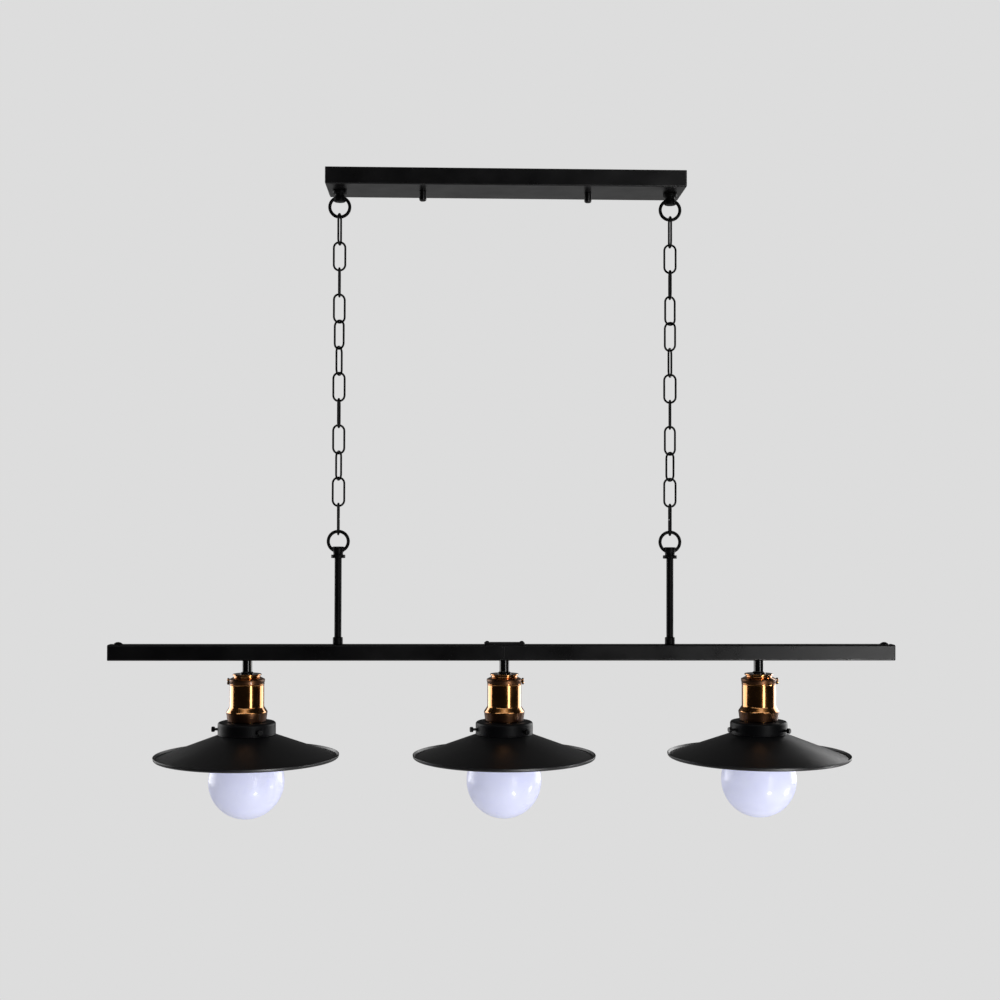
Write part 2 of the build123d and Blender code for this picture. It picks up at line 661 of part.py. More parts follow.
stem_nut = thin_nut(STEM_THREAD_R)
stem_nut_z = BEAM_LOW_Z + BEAM_WALL + FIT
sleeve_rise = (0, EASY + SLEEVE_WALL, 0)      # the middle stem's nut stands on the sleeve
save("stem_nuts", group(Pos(x, 0, stem_nut_z + rise) * stem_nut for x, rise in zip(LAMP_X, sleeve_rise)))

cap_screws = []
socket_cores = []
contacts = []
for name, x, screw_angle, thumb_angles in zip(LAMP_NAMES, LAMP_X, CAP_SCREW_ANGLES, THUMB_ANGLES):
    place = Pos(x, 0, BEAM_LOW_Z)
    turn = Rot(0, 0, screw_angle)
    save(f"{name}_stem", place * lamp_stem())
    save(f"{name}_holder_cap", place * turn * holder_cap())
    save(f"{name}_holder_body", place * turn * holder_body())
    cup = gallery()
    for number, angle in enumerate(thumb_angles, start=1):
        hole = bar_along_x(THUMB_SHANK_R + FIT, GALLERY_R - 2 * GALLERY_WALL, GALLERY_R + BURY)
        cup -= radial(hole, angle, -THUMB_HEIGHT)
        save(f"{name}_thumbscrew_{number}", place * radial(thumbscrew(), angle, -THUMB_HEIGHT))
    save(f"{name}_gallery", place * cup)
    save(f"{name}_shade", place * shade())
    save(f"{name}_bulb_globe", place * bulb_globe())
    save(f"{name}_bulb_cap", place * bulb_cap())
    cap_screws.append(place * radial(cap_screw(), screw_angle, -CAP_SCREW_HEIGHT))
    socket_cores.append(place * socket_core())
    contacts += [place * piece for piece in socket_contacts()]

save("cap_screws", group(cap_screws))
save("socket_cores", group(socket_cores))
save("socket_contacts", group(contacts))
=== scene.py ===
"""The looks of a linear island pendant: a canopy, two chains, a square beam and three shaded lamp heads.

Sizes are in millimetres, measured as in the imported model. A finished piece is scaled to metres.
"""
import math

import bmesh
import bpy
from mathutils import Matrix, Vector


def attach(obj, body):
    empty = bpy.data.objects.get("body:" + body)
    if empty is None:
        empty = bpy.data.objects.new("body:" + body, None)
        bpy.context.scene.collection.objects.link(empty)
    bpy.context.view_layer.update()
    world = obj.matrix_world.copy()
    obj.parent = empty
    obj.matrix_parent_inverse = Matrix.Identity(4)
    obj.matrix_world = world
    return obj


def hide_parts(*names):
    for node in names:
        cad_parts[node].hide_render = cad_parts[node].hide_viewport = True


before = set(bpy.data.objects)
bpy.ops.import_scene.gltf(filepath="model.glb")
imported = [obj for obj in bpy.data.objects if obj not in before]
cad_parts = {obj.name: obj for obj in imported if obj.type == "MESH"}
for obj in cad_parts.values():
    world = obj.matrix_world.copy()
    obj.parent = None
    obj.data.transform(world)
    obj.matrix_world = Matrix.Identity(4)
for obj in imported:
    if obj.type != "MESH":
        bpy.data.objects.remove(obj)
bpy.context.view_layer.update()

MM = 0.001
WELD = 0.001           # points nearer than this become one
ARC_STEPS = 7          # faces round a quarter turn
SUPPORT = 0.35         # extra row beside a rounding, so that the flat next to it shades flat
SHARP = math.radians(38)

# ---------------------------------------------------------------- sizes
CANOPY = (430, 75, 20)
CANOPY_WALL = 1.2
CANOPY_FOLD = 1.8
CAP_NUT_X = 100
LOOP_X = 200
RING_TOP_Z = -40.05
RING_LOW_Z = -443.06
TOP_LINK_Z = -49.7
RUN_Z = -83.8
RUN_STEP = 31.54
BOTTOM_LINK_Z = -398.96
RING_R = 12
RING_WIRE_R = 2
FLANGE_FACE = 20
THREAD_R = 4
WIRE_R = 1.25
LINK_WIDTH = 16.3
LINK_INNER = 31.6
CONNECTOR_INNER = 34.4
CONNECTOR_SPLIT = 0.4
RUN_YAWS = (0, 90, 25, -35, 67, -8, 86, 20, -60, 0)
TOP_LINK_YAWS = {"left": 80.6, "right": 93.2}      # a top link hangs a little off square in its ring

ROD_TOP_Z = -463.06
ROD_R = 4.25
BEAM_TOP_Z = -566.56
BEAM_LOW_Z = -585.56
BEAM_SIZE = 19
BEAM_HALF = 472.5
BEAM_WALL = 1.1
BEAM_EDGE = 2.2
END_CAP_THICK = 1.8
END_SCREW_X = 461.5
PLATE_SCREW_X = 20.85

LAMPS = {
    "left": (-308, 180, (180, 60, -60)),
    "middle": (0, 0, (190, -50, 70)),
    "right": (308, 0, (200, -40, 80)),
}
CAP_BAND_R = 21.3
CAP_SCREW_Z = -25.2
THUMB_Z = -82.2
BULB_Z = -144
BULB_R = 45

# ---------------------------------------------------------------- node helpers


def add(group, kind, inputs=(), **settings):
    """A node with its settings. Each input is a socket and a number, or a socket and what feeds it."""
    node = group.nodes.new(kind)
    for key, value in settings.items():
        setattr(node, key, value)
    for socket, source in inputs:
        if isinstance(source, bpy.types.NodeSocket):
            group.links.new(source, node.inputs[socket])
        else:
            node.inputs[socket].default_value = source
    return node


def maths(group, operation, first, second=0.0):
    return add(group, "ShaderNodeMath", ((0, first), (1, second)), operation=operation).outputs[0]


def new_tree(name, inputs):
    """A geometry tree with its named inputs, and its input and output nodes."""
    group = bpy.data.node_groups.new(name, "GeometryNodeTree")
    group.interface.new_socket("Geometry", in_out="INPUT", socket_type="NodeSocketGeometry")
    for label, kind, value in inputs:
        socket = group.interface.new_socket(label, in_out="INPUT", socket_type="NodeSocket" + kind)
        if value is not None:
            socket.default_value = value
    group.interface.new_socket("Geometry", in_out="OUTPUT", socket_type="NodeSocketGeometry")
    return group, group.nodes.new("NodeGroupInput").outputs, group.nodes.new("NodeGroupOutput").inputs


def close_tree(group, shape, finish, out):
    """Every tree ends smooth, welded, realized and with its finish on."""
    welded = add(group, "GeometryNodeMergeByDistance", (("Geometry", shape), ("Distance", WELD)))
    smooth = add(group, "GeometryNodeSetShadeSmooth", (("Geometry", welded.outputs[0]),))
    real = add(group, "GeometryNodeRealizeInstances", (("Geometry", smooth.outputs[0]),))
    painted = add(group, "GeometryNodeSetMaterial", (("Geometry", real.outputs[0]), ("Material", finish)))
    group.links.new(painted.outputs[0], out["Geometry"])
    return group


def turning_tree():
    """Spins an outline about Z. Ridges run along the axis, a thread runs round it; both only cut inwards."""
    group, given, out = new_tree("turned_piece", (
        ("Segments", "Int", 64),
        ("Rows", "Int", 2),
        ("Ridges", "Float", 0.0),
        ("Ridge Depth", "Float", 0.0),
        ("Thread Pitch", "Float", 1.0),
        ("Thread Depth", "Float", 0.0),
        ("Cut Above Radius", "Float", 0.0),
        ("Finish", "Material", None),
    ))
    columns = maths(group, "ADD", given["Segments"], 1)
    grid = add(group, "GeometryNodeMeshGrid", (("Vertices X", columns), ("Vertices Y", given["Rows"])))
    index = add(group, "GeometryNodeInputIndex").outputs[0]
    column = maths(group, "FLOOR", maths(group, "DIVIDE", index, given["Rows"]))
    row = maths(group, "SUBTRACT", index, maths(group, "MULTIPLY", column, given["Rows"]))
    place = add(group, "GeometryNodeInputPosition").outputs[0]
    sample = add(group, "GeometryNodeSampleIndex", (("Geometry", given["Geometry"]), ("Index", row)),
                 data_type="FLOAT_VECTOR")
    group.links.new(place, sample.inputs["Value"])
    outline = add(group, "ShaderNodeSeparateXYZ", ((0, sample.outputs[0]),)).outputs
    radius, height = outline["X"], outline["Z"]
    turn = maths(group, "MULTIPLY", maths(group, "DIVIDE", column, given["Segments"]), math.tau)
    ridge = maths(group, "COSINE", maths(group, "MULTIPLY", turn, given["Ridges"]))
    climb = maths(group, "MULTIPLY", maths(group, "DIVIDE", height, given["Thread Pitch"]), math.tau)
    thread = maths(group, "COSINE", maths(group, "SUBTRACT", climb, turn))
    halved = []
    for wave, depth in ((ridge, given["Ridge Depth"]), (thread, given["Thread Depth"])):
        halved.append(maths(group, "MULTIPLY", maths(group, "SUBTRACT", wave, 1), depth))
    cut = maths(group, "MULTIPLY", maths(group, "ADD", *halved), 0.5)
    mask = maths(group, "GREATER_THAN", radius, given["Cut Above Radius"])
    radius = maths(group, "ADD", radius, maths(group, "MULTIPLY", cut, mask))
    spun = add(group, "ShaderNodeCombineXYZ", (
        ("X", maths(group, "MULTIPLY", radius, maths(group, "COSINE", turn))),
        ("Y", maths(group, "MULTIPLY", radius, maths(group, "SINE", turn))),
        ("Z", height),
    ))
    moved = add(group, "GeometryNodeSetPosition", (
        ("Geometry", grid.outputs[0]),
        ("Position", spun.outputs[0]),
    ))
    return close_tree(group, moved.outputs[0], given["Finish"], out)


def wire_tree():
    """A round wire along a path, swollen a little round one point, as a weld is."""
    group, given, out = new_tree("wire_on_path", (
        ("Wire Radius", "Float", 1.0),
        ("Sides", "Int", 20),
        ("Swell", "Float", 0.0),
        ("Swell Length", "Float", 1.0),
        ("Swell Point", "Vector", (0.0, 0.0, 0.0)),
        ("Finish", "Material", None),
    ))
    path = add(group, "GeometryNodeMeshToCurve", ((0, given["Geometry"]),)).outputs[0]
    place = add(group, "GeometryNodeInputPosition").outputs[0]
    apart = add(group, "ShaderNodeVectorMath", ((0, place), (1, given["Swell Point"])), operation="DISTANCE")
    near = maths(group, "DIVIDE", apart.outputs["Value"], given["Swell Length"])
    fall = maths(group, "MAXIMUM", maths(group, "SUBTRACT", 1, maths(group, "MULTIPLY", near, near)))
    radius = maths(group, "ADD", maths(group, "MULTIPLY", fall, given["Swell"]), 1)
    swollen = add(group, "GeometryNodeSetCurveRadius", (("Curve", path), ("Radius", radius)))
    circle = add(group, "GeometryNodeCurvePrimitiveCircle", (
        ("Resolution", given["Sides"]),
        ("Radius", given["Wire Radius"]),
    ))
    wire = add(group, "GeometryNodeCurveToMesh", (
        ("Curve", swollen.outputs[0]),
        ("Profile Curve", circle.outputs[0]),
        ("Fill Caps", True),
    ))
    return close_tree(group, wire.outputs[0], given["Finish"], out)


def run_tree():
    """One link at each point, turned about Z by the point's yaw."""
    group, given, out = new_tree("run_of_links", (
        ("Link", "Object", None),
        ("Finish", "Material", None),
    ))
    link = add(group, "GeometryNodeObjectInfo", (("Object", given["Link"]),))
    yaw = add(group, "GeometryNodeInputNamedAttribute", (("Name", "yaw"),), data_type="FLOAT")
    turn = add(group, "ShaderNodeCombineXYZ", (("Z", yaw.outputs[0]),))
    hung = add(group, "GeometryNodeInstanceOnPoints", (
        ("Points", given["Geometry"]),
        ("Instance", link.outputs["Geometry"]),
        ("Rotation", turn.outputs[0]),
    ))
    return close_tree(group, hung.outputs[0], given["Finish"], out)


def slot_tree():
    """A driver slot cut across the top of a screw's head."""
    group, given, out = new_tree("driver_slot", (
        ("Slot Size", "Vector", (10.0, 1.0, 2.0)),
        ("Slot Place", "Vector", (0.0, 0.0, 0.0)),
        ("Finish", "Material", None),
    ))
    bar = add(group, "GeometryNodeMeshCube", (("Size", given["Slot Size"]),))
    moved = add(group, "GeometryNodeTransform", (
        ("Geometry", bar.outputs[0]),
        ("Translation", given["Slot Place"]),
    ))
    cut = add(group, "GeometryNodeMeshBoolean", ((0, given["Geometry"]), (1, moved.outputs[0])),
              operation="DIFFERENCE")
    return close_tree(group, cut.outputs[0], given["Finish"], out)


TURNING = turning_tree()
WIRE = wire_tree()
RUN = run_tree()
SLOT = slot_tree()


def grow(source, group, values):
    """The plain mesh that a tree makes of a mesh."""
    carrier = bpy.data.objects.new(group.name, source)
    bpy.context.collection.objects.link(carrier)
    modifier = carrier.modifiers.new(group.name, "NODES")
    modifier.node_group = group
    for item in group.interface.items_tree:
        if item.in_out == "INPUT" and item.name in values:
            modifier[item.identifier] = values[item.name]
    mesh = settle(carrier)
    mesh.materials.clear()
    mesh.materials.append(values["Finish"])
    mesh.polygons.foreach_set("material_index", [0] * len(mesh.polygons))
    return mesh


def settle(carrier):
    """The carrier's mesh with its modifiers applied; the carrier goes."""
    graph = bpy.context.evaluated_depsgraph_get()
    mesh = bpy.data.meshes.new_from_object(carrier.evaluated_get(graph))
    carrier.modifiers.clear()
    source = carrier.data
    bpy.data.objects.remove(carrier)
    bpy.data.meshes.remove(source)
    return mesh


# ---------------------------------------------------------------- outline helpers


def soften(corners, closed):
    """Rounds the corners of an outline. A corner is (across, up) or (across, up, rounding)."""
    count = len(corners)
    points = []
    for number, corner in enumerate(corners):
        here = Vector(corner[:2])
        inside = closed or 0 < number < count - 1
        rounding = corner[2] if len(corner) > 2 and inside else 0
        if not rounding:
            points.append(here)
            continue
        back = (Vector(corners[number - 1][:2]) - here).normalized()
        ahead = (Vector(corners[(number + 1) % count][:2]) - here).normalized()
        half = back.angle(ahead) / 2
        middle = here + (back + ahead).normalized() * rounding / math.sin(half)
        reach = rounding / math.tan(half)
        start = here + back * reach - middle
        swing = math.pi - 2 * half
        side = 1 if back.cross(ahead) < 0 else -1
        steps = max(2, round(ARC_STEPS * swing / (math.pi / 2)))
        for step in range(steps + 1):
            turn = Matrix.Rotation(side * swing * step / steps, 2)
            points.append(middle + turn @ start)
    ends = points[1:] + (points[:1] if closed else [])
    full = []
    for here, after in zip(points, ends):
        full.append(here)
        gap = after - here
        if gap.length > 4 * SUPPORT:
            full.append(here + gap.normalized() * SUPPORT)
            full.append(after - gap.normalized() * SUPPORT)
    return full if closed else full + points[-1:]


def area_of(points):
    ends = points[1:] + points[:1]
    return sum(here.cross(after) for here, after in zip(points, ends)) / 2


def turned(corners, finish, segments=64, closed=False, **cuts):
    """A body of revolution about Z, from the axis back to the axis, or closed as a ring."""
    points = soften(corners, closed)
    if area_of(points) < 0:
        points.reverse()
    if closed:
        points.append(points[0])
    outline = bpy.data.meshes.new("outline")
    outline.from_pydata([(across, 0, up) for across, up in points], [], [])
    values = {"Segments": segments, "Rows": len(points), "Finish": finish}
    values.update({key.replace("_", " ").title(): value for key, value in cuts.items()})
    return grow(outline, TURNING, values)


def threaded(low, high, radius, pitch, depth, finish, segments=48):
    """A threaded length of shank, with enough rows to carry its thread."""
    rows = round((high - low) / pitch * 8)
    side = [(radius, low + (high - low) * row / rows) for row in range(rows + 1)]
    corners = [(0, low), (radius - depth, low), *side, (radius - depth, high), (0, high)]
    return turned(corners, finish, segments, thread_pitch=pitch, thread_depth=depth,
                  cut_above_radius=radius - depth / 2)


def stacked(half_x, half_y, corner, levels, finish, closed=False):
    """Rings of one rounded rectangle. A level is (inset, height) or (inset, height, rounding)."""
    path = soften(levels, closed)
    rings = []
    for inset, height in path:
        x, y, edge = half_x - inset, half_y - inset, max(corner - inset, corner / 20)
        plan = soften([(x, -y, edge), (x, y, edge), (-x, y, edge), (-x, -y, edge)], True)
        rings.append([(across, up, height) for across, up in plan])
    count = len(rings[0])
    faces = []
    for low in range(len(rings) - (0 if closed else 1)):
        high = (low + 1) % len(rings)
        for here in range(count):
            after = (here + 1) % count
            near, far = low * count, high * count
            faces.append((near + here, near + after, far + after, far + here))
    if not closed:
        faces.append(tuple(reversed(range(count))))
        faces.append(tuple(range((len(rings) - 1) * count, len(rings) * count)))
    mesh = bpy.data.meshes.new("stack")
    mesh.from_pydata([point for ring in rings for point in ring], [], faces)
    mesh.shade_smooth()
    mesh.materials.append(finish)
    return mesh


def wire(points, closed, radius, finish, **swell):
    """A round wire along points."""
    path = bpy.data.meshes.new("path")
    edges = [(number, number + 1) for number in range(len(points) - 1)]
    if closed:
        edges.append((len(points) - 1, 0))
    path.from_pydata(points, edges, [])
    values = {"Wire Radius": radius, "Finish": finish}
    values.update({key.replace("_", " ").title(): value for key, value in swell.items()})
    return grow(path, WIRE, values)


def at(x=0.0, y=0.0, z=0.0):
    return Matrix.Translation((x, y, z))


def pointing(angle):
    """Turns a piece made up the Z axis to point outwards at an angle about Z."""
    return Matrix.Rotation(math.radians(angle), 4, "Z") @ Matrix.Rotation(math.pi / 2, 4, "Y")


def joined(parts):
    """One mesh of several, each with its place. A material keeps its faces."""
    shape = bmesh.new()
    finishes = []
    for mesh, place in parts:
        old_verts = len(shape.verts)
        old_faces = len(shape.faces)
        shape.from_mesh(mesh)
        shape.verts.ensure_lookup_table()
        shape.faces.ensure_lookup_table()
        bmesh.ops.transform(shape, matrix=place, verts=shape.verts[old_verts:])
        for finish in mesh.materials:
            if finish not in finishes:
                finishes.append(finish)
        for face in shape.faces[old_faces:]:
            face.material_index = finishes.index(mesh.materials[face.material_index])
    mesh = bpy.data.meshes.new("joined")
    shape.to_mesh(mesh)
    shape.free()
    for finish in finishes:
        mesh.materials.append(finish)
    return mesh


def piece(name, parts, body, slot, *nodes):
    """A finished piece in metres, riding on its body and standing for its nodes."""
    mesh = joined(parts)
    mesh.name = name
    mesh.transform(Matrix.Scale(MM, 4))
    mesh.set_sharp_from_angle(angle=SHARP)
    made = bpy.data.objects.new(name, mesh)
    bpy.context.collection.objects.link(made)
    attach(made, body)
    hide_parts(*nodes)
    return made


# ---------------------------------------------------------------- finishes
WEAR = 0.5             # how far the edges' paint is rubbed paler at most


def new_finish(name):
    finish = bpy.data.materials.new(name)
    finish.use_nodes = True
    group = finish.node_tree
    shader = group.nodes["Principled BSDF"]
    place = group.nodes.new("ShaderNodeTexCoord").outputs["Object"]
    return finish, group, shader, place


def noise(group, place, scale, detail=4.0, roughness=0.55):
    made = add(group, "ShaderNodeTexNoise", (
        ("Vector", place),
        ("Scale", scale),
        ("Detail", detail),
        ("Roughness", roughness),
    ))
    return made.outputs["Fac"]


def spread(group, value, low, high, start=0.3, end=0.7):
    """A pattern's middle range spread over two new numbers."""
    made = add(group, "ShaderNodeMapRange", (
        ("Value", value),
        ("From Min", start),
        ("From Max", end),
        ("To Min", low),
        ("To Max", high),
    ))
    return made.outputs[0]


def blended(group, share, first, second):
    """Two colours mixed by a pattern."""
    made = add(group, "ShaderNodeMix", (("Factor", share),), data_type="RGBA")
    for socket, source in ((6, first), (7, second)):
        if isinstance(source, bpy.types.NodeSocket):
            group.links.new(source, made.inputs[socket])
        else:
            made.inputs[socket].default_value = (*source, 1)
    return made.outputs[2]


def edge_share(group, width, low, high):
    """How much a point lies on an outer edge: the rounded normal leaves the true one there."""
    bevel = add(group, "ShaderNodeBevel", (("Radius", width),), samples=6)
    true = add(group, "ShaderNodeNewGeometry").outputs["Normal"]
    along = add(group, "ShaderNodeVectorMath", ((0, bevel.outputs[0]), (1, true)), operation="DOT_PRODUCT")
    return spread(group, along.outputs["Value"], high, low, 0.82, 0.99)


def bumped(group, shader, layers):
    """Bump layers, each a height pattern, its depth in metres and its strength."""
    normal = None
    for height, depth, strength in layers:
        bump = add(group, "ShaderNodeBump", (("Strength", strength), ("Distance", depth), ("Height", height)))
        if normal:
            group.links.new(normal, bump.inputs["Normal"])
        normal = bump.outputs[0]
    group.links.new(normal, shader.inputs["Normal"])


def painted(name, dark, light, rough, grain, peel_depth, gloss=0.3):
    """Baked paint: a little uneven in tone and gloss, a fine peel, and edges rubbed paler."""
    finish, group, shader, place = new_finish(name)
    shader.inputs["Specular IOR Level"].default_value = gloss
    cloud = noise(group, place, 22)
    fleck = noise(group, place, grain, 2.0)
    tone = blended(group, spread(group, cloud, 0, 1), dark, light)
    patches = spread(group, noise(group, place, 160), 0, WEAR)
    rubbed = maths(group, "MULTIPLY", edge_share(group, 0.0006, 0, 1), patches)
    group.links.new(blended(group, rubbed, tone, [3 * part for part in light]), shader.inputs["Base Color"])
    group.links.new(spread(group, cloud, rough - 0.04, rough + 0.06), shader.inputs["Roughness"])
    bumped(group, shader, ((fleck, peel_depth, 0.6), (cloud, 0.0001, 0.15)))
    return finish


def metal(name, dark, light, rough, streaks, streak_scale, lacquer=0.0):
    """Worked metal: streaks of the tool, stains and softly varied gloss, under lacquer or bare."""
    finish, group, shader, place = new_finish(name)
    shader.inputs["Metallic"].default_value = 1
    shader.inputs["Coat Weight"].default_value = lacquer
    shader.inputs["Coat Roughness"].default_value = 0.05
    drawn = add(group, "ShaderNodeMapping", (("Vector", place), ("Scale", streak_scale))).outputs[0]
    lines = noise(group, drawn, streaks, 3.0)
    stain = noise(group, place, 45, 5.0)
    group.links.new(blended(group, spread(group, stain, 0, 1), dark, light), shader.inputs["Base Color"])
    uneven = maths(group, "ADD", spread(group, stain, 0, 0.08), spread(group, lines, rough, rough + 0.07))
    group.links.new(uneven, shader.inputs["Roughness"])
    bumped(group, shader, ((lines, 0.00002, 0.35),))
    return finish


def opal():
    """Opal glass: milky under a clear, glossy skin, with the faint flow of blown glass, and a faint painted
    glow in its own tint.
    """
    finish, group, shader, place = new_finish("opal_glass")
    flow = noise(group, place, 14)
    tint = blended(group, spread(group, flow, 0, 1), (0.60, 0.62, 0.80), (0.65, 0.67, 0.85))
    # Painted glow: the unlit globe is made to shine faintly in its tint, standing in for light falling on it.
    group.links.new(tint, shader.inputs["Emission Color"])
    shader.inputs["Emission Strength"].default_value = 0.35
    group.links.new(tint, shader.inputs["Base Color"])
    shader.inputs["Subsurface Weight"].default_value = 0.35
    shader.inputs["Subsurface Radius"].default_value = (0.01, 0.01, 0.014)
    shader.inputs["Subsurface Scale"].default_value = 1
    shader.inputs["Specular IOR Level"].default_value = 0.25
    shader.inputs["Coat Weight"].default_value = 0.3
    shader.inputs["Coat Roughness"].default_value = 0.045
    group.links.new(spread(group, flow, 0.26, 0.34), shader.inputs["Roughness"])
    bumped(group, shader, ((flow, 0.0006, 0.12),))
    return finish


def fired(name, pale, deep, rough):
    """Fired enamel or porcelain: nearly even, with pinholes and a soft orange peel."""
    finish, group, shader, place = new_finish(name)
    cloud = noise(group, place, 30)
    holes = add(group, "ShaderNodeTexVoronoi", (("Vector", place), ("Scale", 420.0))).outputs["Distance"]
    group.links.new(blended(group, spread(group, cloud, 0, 1), pale, deep), shader.inputs["Base Color"])
    group.links.new(spread(group, cloud, rough, rough + 0.1), shader.inputs["Roughness"])
    bumped(group, shader, ((holes, 0.00005, 0.2), (noise(group, place, 260, 1.0), 0.00003, 0.5)))
    return finish


BLACK = (0.0016, 0.0015, 0.0017)
WORN_BLACK = (0.003, 0.0028, 0.0032)
PAINT = painted("satin_black_paint", BLACK, WORN_BLACK, 0.3, 1500, 0.00002)
CAST_PAINT = painted("black_cast_paint", (0.0016, 0.0016, 0.0018), (0.0035, 0.0034, 0.0036),
                     0.4, 900, 0.00005, gloss=0.06)
CHAIN_PAINT = painted("black_chain_paint", (0.0016, 0.0016, 0.0016), (0.0035, 0.0035, 0.0035),
                      0.36, 1400, 0.00003, gloss=0.06)
STEM_PAINT = painted("glossy_black_paint", BLACK, WORN_BLACK, 0.14, 1500, 0.00002, gloss=0.5)
SHADE_PAINT = painted("charcoal_shade_paint", (0.002, 0.0019, 0.0024), (0.0036, 0.0034, 0.0041),
                      0.38, 1100, 0.00004, gloss=0.62)
GALLERY_PAINT = painted("charcoal_gallery_paint", (0.002, 0.002, 0.0026), (0.0045, 0.0045, 0.0054),
                        0.42, 600, 0.00012, gloss=0.13)
ENAMEL = fired("white_enamel", (0.78, 0.78, 0.76), (0.72, 0.72, 0.7), 0.25)
PORCELAIN = fired("porcelain", (0.74, 0.73, 0.69), (0.66, 0.64, 0.59), 0.2)
COPPER = metal("polished_copper", (0.4, 0.17, 0.045), (0.5, 0.225, 0.07), 0.07, 260, (1, 1, 14),
               lacquer=0.7)
# Painted shade: a darker, duller copy of the copper, for the bands that face dark surroundings.
DARKENED_COPPER = metal("aged_copper", (0.07, 0.032, 0.016), (0.12, 0.055, 0.025), 0.3, 260, (1, 1, 14),
                    lacquer=0.1)
ZINC = metal("zinc_steel", (0.42, 0.43, 0.45), (0.62, 0.63, 0.64), 0.28, 240, (1, 9, 9))
BRASS = metal("brass", (0.50, 0.36, 0.14), (0.66, 0.50, 0.22), 0.22, 300, (1, 1, 10))
NICKEL = metal("bulb_cap_nickel", (0.56, 0.55, 0.52), (0.70, 0.69, 0.66), 0.2, 300, (1, 1, 10))
OPAL = opal()

# ---------------------------------------------------------------- canopy


def canopy_piece():
    """The folded sheet tray, open at the top, its folds and lip rounded."""
    length, width, height = CANOPY
    centre = 8
    levels = (
        (centre, -height),
        (0, -height, CANOPY_FOLD),
        (0, 0, 0.4),
        (CANOPY_WALL, 0, 0.4),
        (CANOPY_WALL, -height + CANOPY_WALL, 0.6),
        (centre, -height + CANOPY_WALL),
    )
    tray = stacked(length / 2, width / 2, CANOPY_FOLD, levels, PAINT)
    piece("canopy_tray", [(tray, at())], "canopy", "black_paint", "canopy_box")


def cap_nut_pieces():
    nut = turned([(0, -32.05), (4.5, -32.05, 2.6), (4.5, -20.05, 0.4), (0, -20.05)], PAINT, 48)
    parts = [(nut, at(x)) for x in (-CAP_NUT_X, CAP_NUT_X)]
    piece("long_cap_nuts", parts, "canopy", "black_paint", "cap_nuts")


# ---------------------------------------------------------------- ring loops and chains


def cast_loop():
    """Ring and boss run together as cast, ring centre at the origin, boss above."""
    steps = 72
    round_path = []
    for step in range(steps):
        turn = math.tau * step / steps
        round_path.append((RING_R * math.cos(turn), 0, RING_R * math.sin(turn)))
    ring = wire(round_path, True, RING_WIRE_R, CAST_PAINT)
    outline = [(0, 6.2), (7, 6.2, 1), (7, 9.5, 1.4), (5.9, 13.5, 1.2), (5.9, 17), (0, 17)]
    boss = turned(outline, CAST_PAINT, 48)
    carrier = bpy.data.objects.new("loop", joined([(ring, at()), (boss, at())]))
    bpy.context.collection.objects.link(carrier)
    remesh = carrier.modifiers.new("cast", "REMESH")
    remesh.mode = "VOXEL"
    remesh.voxel_size = 0.42
    remesh.use_smooth_shade = True
    smooth = carrier.modifiers.new("soften", "SMOOTH")
    smooth.factor = 0.5
    smooth.iterations = 5
    casting = settle(carrier)
    casting.materials.clear()
    casting.materials.append(CAST_PAINT)
    return casting


def loop_pieces():
    casting = cast_loop()
    flange = turned([(0, 16), (8.5, 16, 0.7), (8.5, FLANGE_FACE, 0.7), (0, FLANGE_FACE)], CAST_PAINT, 64)
    shank = threaded(FLANGE_FACE - 0.5, 28.95, THREAD_R, 1.25, 0.6, ZINC)
    for side, x in (("left", -LOOP_X), ("right", LOOP_X)):
        hung = at(x, 0, RING_TOP_Z)
        parts = [(casting, hung), (flange, hung), (shank, hung)]
        piece(f"{side}_upper_loop", parts, "canopy", "black_paint", f"{side}_hanger_loop")
        stood = at(x, 0, RING_LOW_Z) @ Matrix.Rotation(math.pi, 4, "Y")
        parts = [(casting, stood), (flange, stood)]
        piece(f"{side}_lower_loop", parts, "beam", "black_paint", f"{side}_beam_loop")


def link_path(inner, split):
    """The centreline of an upright link in the XZ plane, its inner top at the origin.
    It starts and ends in the middle of its +X side."""
    bend = LINK_WIDTH / 2 - WIRE_R
    reach = inner / 2 + WIRE_R - bend
    gap = CONNECTOR_SPLIT / 2 if split else 0
    turns = 20
    rows = 8
    points = []
    for row in range(rows):
        points.append((bend, gap + (reach - gap) * row / rows))
    for step in range(turns + 1):
        turn = math.pi * step / turns
        points.append((bend * math.cos(turn), reach + bend * math.sin(turn)))
    for row in range(1, 2 * rows):
        points.append((-bend, reach - reach * row / rows))
    for step in range(turns + 1):
        turn = math.pi + math.pi * step / turns
        points.append((bend * math.cos(turn), -reach + bend * math.sin(turn)))
    last = rows + 1 if split else rows
    for row in range(1, last):
        points.append((bend, -reach + (reach - gap) * row / rows))
    return [(across, 0, up - inner / 2) for across, up in points]


